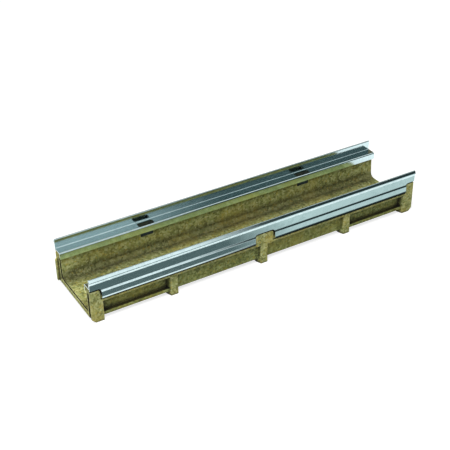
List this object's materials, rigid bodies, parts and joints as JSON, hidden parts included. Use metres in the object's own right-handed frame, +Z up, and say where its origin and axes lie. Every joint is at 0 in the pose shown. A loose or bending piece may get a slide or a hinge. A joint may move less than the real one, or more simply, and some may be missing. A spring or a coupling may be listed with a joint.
{
  "type": "channel drain",
  "caption": "Low polymer concrete channel drain with folded galvanised edge rails that seat and lock a grating, and a tongue and groove joint at each end.",
  "frame": {"origin": "under the middle of the trough, on the plane its feet stand on", "axes": "+X along the trough, +Y across it to the left wall, +Z up"},
  "size_m": [1.014, 0.2242, 0.131],
  "materials": {
    "polymer_concrete": "fine sandy",
    "galvanised_steel": "bright smooth zinc"
  },
  "bodies": {
    "root": {"channel_body": "polymer_concrete", "left_edge_rail": "galvanised_steel", "right_edge_rail": "galvanised_steel"}
  },
  "joints": []
}
